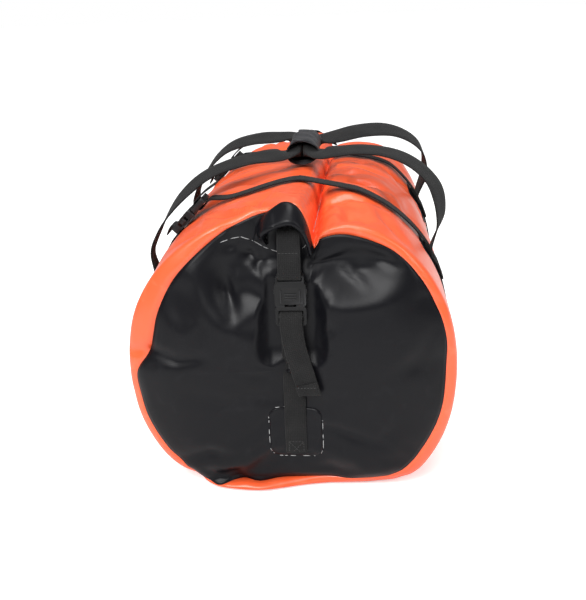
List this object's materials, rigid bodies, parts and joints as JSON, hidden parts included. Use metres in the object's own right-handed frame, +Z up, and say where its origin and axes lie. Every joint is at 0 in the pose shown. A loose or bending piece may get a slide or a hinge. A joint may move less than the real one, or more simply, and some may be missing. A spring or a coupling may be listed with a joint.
{
  "type": "dry bag",
  "caption": "Roll-top duffel dry bag of welded tarpaulin, with girth straps, end straps, side-release buckles and two webbing carry handles held by a wrap.",
  "frame": {"origin": "on the ground, under the middle of the bag", "axes": "+X to the bag's right side, +Y along its length from the front end to the rear end, +Z up"},
  "size_m": [0.3817, 0.666, 0.366],
  "materials": {
    "coral_tarpaulin": "glossy coated fabric",
    "black_tarpaulin": "satin coated fabric",
    "black_webbing": "woven webbing",
    "wrap_fabric": "woven with hook-and-loop",
    "buckle_plastic": "satin moulded",
    "stiffener_plastic": "plain"
  },
  "bodies": {
    "root": {"body_panel": "coral_tarpaulin", "front_end_panel": "black_tarpaulin", "rear_end_panel": "black_tarpaulin", "closure_roll": "coral_tarpaulin", "closure_stiffener": "stiffener_plastic", "front_strap_patch": "black_tarpaulin", "rear_strap_patch": "black_tarpaulin", "front_left_patch": "black_tarpaulin", "rear_left_patch": "black_tarpaulin", "front_right_patch": "black_tarpaulin", "rear_right_patch": "black_tarpaulin", "front_tab_webbing": "black_webbing", "rear_tab_webbing": "black_webbing", "front_strap": "black_webbing", "rear_strap": "black_webbing", "front_girth_lower": "black_webbing", "rear_girth_lower": "black_webbing", "front_girth_top": "black_webbing", "rear_girth_top": "black_webbing", "front_buckle_female": "buckle_plastic", "rear_buckle_female": "buckle_plastic", "front_girth_buckle_female": "buckle_plastic", "rear_girth_buckle_female": "buckle_plastic"},
    "left_handle": {"left_handle": "black_webbing", "handle_wrap": "wrap_fabric"},
    "right_handle": {"right_handle": "black_webbing"},
    "front_male": {"front_buckle_male": "buckle_plastic"},
    "front_arm_a": {"front_buckle_arm_a": "buckle_plastic"},
    "front_arm_b": {"front_buckle_arm_b": "buckle_plastic"},
    "rear_male": {"rear_buckle_male": "buckle_plastic"},
    "rear_arm_a": {"rear_buckle_arm_a": "buckle_plastic"},
    "rear_arm_b": {"rear_buckle_arm_b": "buckle_plastic"},
    "front_girth_male": {"front_girth_buckle_male": "buckle_plastic"},
    "front_girth_arm_a": {"front_girth_buckle_arm_a": "buckle_plastic"},
    "front_girth_arm_b": {"front_girth_buckle_arm_b": "buckle_plastic"},
    "rear_girth_male": {"rear_girth_buckle_male": "buckle_plastic"},
    "rear_girth_arm_a": {"rear_girth_buckle_arm_a": "buckle_plastic"},
    "rear_girth_arm_b": {"rear_girth_buckle_arm_b": "buckle_plastic"}
  },
  "joints": [
    {"name": "left_handle_swing", "type": "hinge", "parent": "root", "child": "left_handle", "pos_m": [-0.1845, 0, 0.2215], "axis": [0, -1, 0], "range_deg": [0, 150], "deforming": ["handle_wrap"]},
    {"name": "right_handle_swing", "type": "hinge", "parent": "root", "child": "right_handle", "pos_m": [0.1705, 0, 0.2475], "axis": [0, 1, 0], "range_deg": [0, 120]},
    {"name": "front_buckle_release", "type": "slide", "parent": "root", "child": "front_male", "axis": [0, 0, -1], "range_m": [0, 0.026], "deforming": ["front_strap", "front_buckle_arm_a", "front_buckle_arm_b"]},
    {"name": "front_arm_a_press", "type": "hinge", "parent": "front_male", "child": "front_arm_a", "pos_m": [0.0151, -0.32525, 0.2361], "axis": [0, -1, 0], "range_deg": [0, 6], "stiffness_Nm_per_rad": 0.05},
    {"name": "front_arm_b_press", "type": "hinge", "parent": "front_male", "child": "front_arm_b", "pos_m": [-0.0071, -0.32525, 0.2361], "axis": [0, 1, 0], "range_deg": [0, 6], "stiffness_Nm_per_rad": 0.05},
    {"name": "rear_buckle_release", "type": "slide", "parent": "root", "child": "rear_male", "axis": [0, 0, -1], "range_m": [0, 0.026], "deforming": ["rear_strap", "rear_buckle_arm_a", "rear_buckle_arm_b"]},
    {"name": "rear_arm_a_press", "type": "hinge", "parent": "rear_male", "child": "rear_arm_a", "pos_m": [-0.0151, 0.32525, 0.2361], "axis": [0, 1, 0], "range_deg": [0, 6], "stiffness_Nm_per_rad": 0.05},
    {"name": "rear_arm_b_press", "type": "hinge", "parent": "rear_male", "child": "rear_arm_b", "pos_m": [0.0071, 0.32525, 0.2361], "axis": [0, -1, 0], "range_deg": [0, 6], "stiffness_Nm_per_rad": 0.05},
    {"name": "front_girth_buckle_release", "type": "slide", "parent": "root", "child": "front_girth_male", "axis": [0.7071, 0, 0.7071], "range_m": [0, 0.026], "deforming": ["front_girth_top", "front_girth_buckle_arm_a", "front_girth_buckle_arm_b"]},
    {"name": "front_girth_arm_a_press", "type": "hinge", "parent": "front_girth_male", "child": "front_girth_arm_a", "pos_m": [-0.13128, -0.1439, 0.30364], "axis": [-0.7071, 0, 0.7071], "range_deg": [0, 6], "stiffness_Nm_per_rad": 0.05},
    {"name": "front_girth_arm_b_press", "type": "hinge", "parent": "front_girth_male", "child": "front_girth_arm_b", "pos_m": [-0.13128, -0.1661, 0.30364], "axis": [0.7071, 0, -0.7071], "range_deg": [0, 6], "stiffness_Nm_per_rad": 0.05},
    {"name": "rear_girth_buckle_release", "type": "slide", "parent": "root", "child": "rear_girth_male", "axis": [0.7071, 0, 0.7071], "range_m": [0, 0.026], "deforming": ["rear_girth_top", "rear_girth_buckle_arm_a", "rear_girth_buckle_arm_b"]},
    {"name": "rear_girth_arm_a_press", "type": "hinge", "parent": "rear_girth_male", "child": "rear_girth_arm_a", "pos_m": [-0.13128, 0.1661, 0.30364], "axis": [-0.7071, 0, 0.7071], "range_deg": [0, 6], "stiffness_Nm_per_rad": 0.05},
    {"name": "rear_girth_arm_b_press", "type": "hinge", "parent": "rear_girth_male", "child": "rear_girth_arm_b", "pos_m": [-0.13128, 0.1439, 0.30364], "axis": [0.7071, 0, -0.7071], "range_deg": [0, 6], "stiffness_Nm_per_rad": 0.05}
  ],
  "couplings": [
    {"joint": "front_arm_b_press", "follows": "front_arm_a_press", "ratio": 1},
    {"joint": "rear_arm_b_press", "follows": "rear_arm_a_press", "ratio": 1},
    {"joint": "front_girth_arm_b_press", "follows": "front_girth_arm_a_press", "ratio": 1},
    {"joint": "rear_girth_arm_b_press", "follows": "rear_girth_arm_a_press", "ratio": 1}
  ]
}
